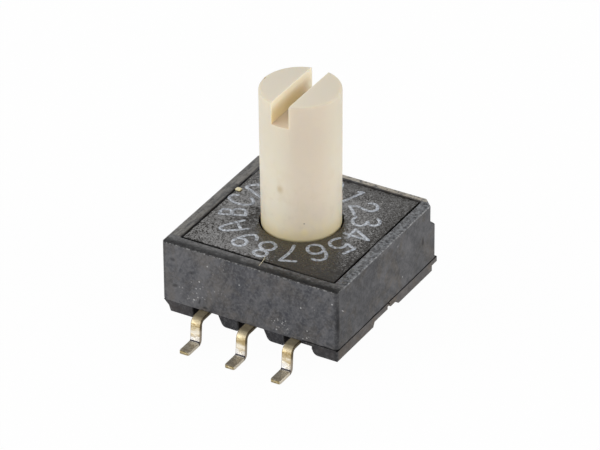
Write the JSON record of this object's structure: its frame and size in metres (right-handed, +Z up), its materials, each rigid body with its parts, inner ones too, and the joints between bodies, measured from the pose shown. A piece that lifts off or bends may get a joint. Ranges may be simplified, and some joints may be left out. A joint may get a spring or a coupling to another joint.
{
  "type": "rotary dip switch",
  "caption": "Square rotary dip switch for surface mounting, with a hexadecimal dial, a long ivory shaft with a screwdriver slot and gull-wing terminals.",
  "frame": {"origin": "on the board plane under the terminal feet, on the shaft's axis", "axes": "+Z up along the shaft; -Y is the front, the face with three terminals seen in the picture; +X is the side seen at its right"},
  "size_m": [0.0098, 0.014, 0.0121],
  "materials": {
    "housing_black": "moulded, scuffed",
    "plate_black": "fine grain",
    "dial_print": "printed",
    "shaft_ivory": "satin",
    "terminal_plating": "plated",
    "spring_steel": "bright",
    "seal_rubber": "smooth",
    "epoxy": "cast"
  },
  "bodies": {
    "body": {"housing": "housing_black", "number_plate": "plate_black", "base": "housing_black", "base_seal": "epoxy", "shaft_seal": "seal_rubber", "detent_spring_left": "spring_steel", "detent_spring_right": "spring_steel", "terminal_bit_1": "terminal_plating", "terminal_common_front": "terminal_plating", "terminal_bit_4": "terminal_plating", "terminal_bit_2": "terminal_plating", "terminal_common_back": "terminal_plating", "terminal_bit_8": "terminal_plating"},
    "turning": {"rotor": "shaft_ivory", "code_disc": "terminal_plating"}
  },
  "joints": [
    {"name": "rotor_turn", "type": "hinge", "parent": "body", "child": "turning", "pos_m": [0, 0, 0], "axis": [0, 0, 1], "continuous": true, "deforming": ["detent_spring_left", "detent_spring_right"]}
  ]
}
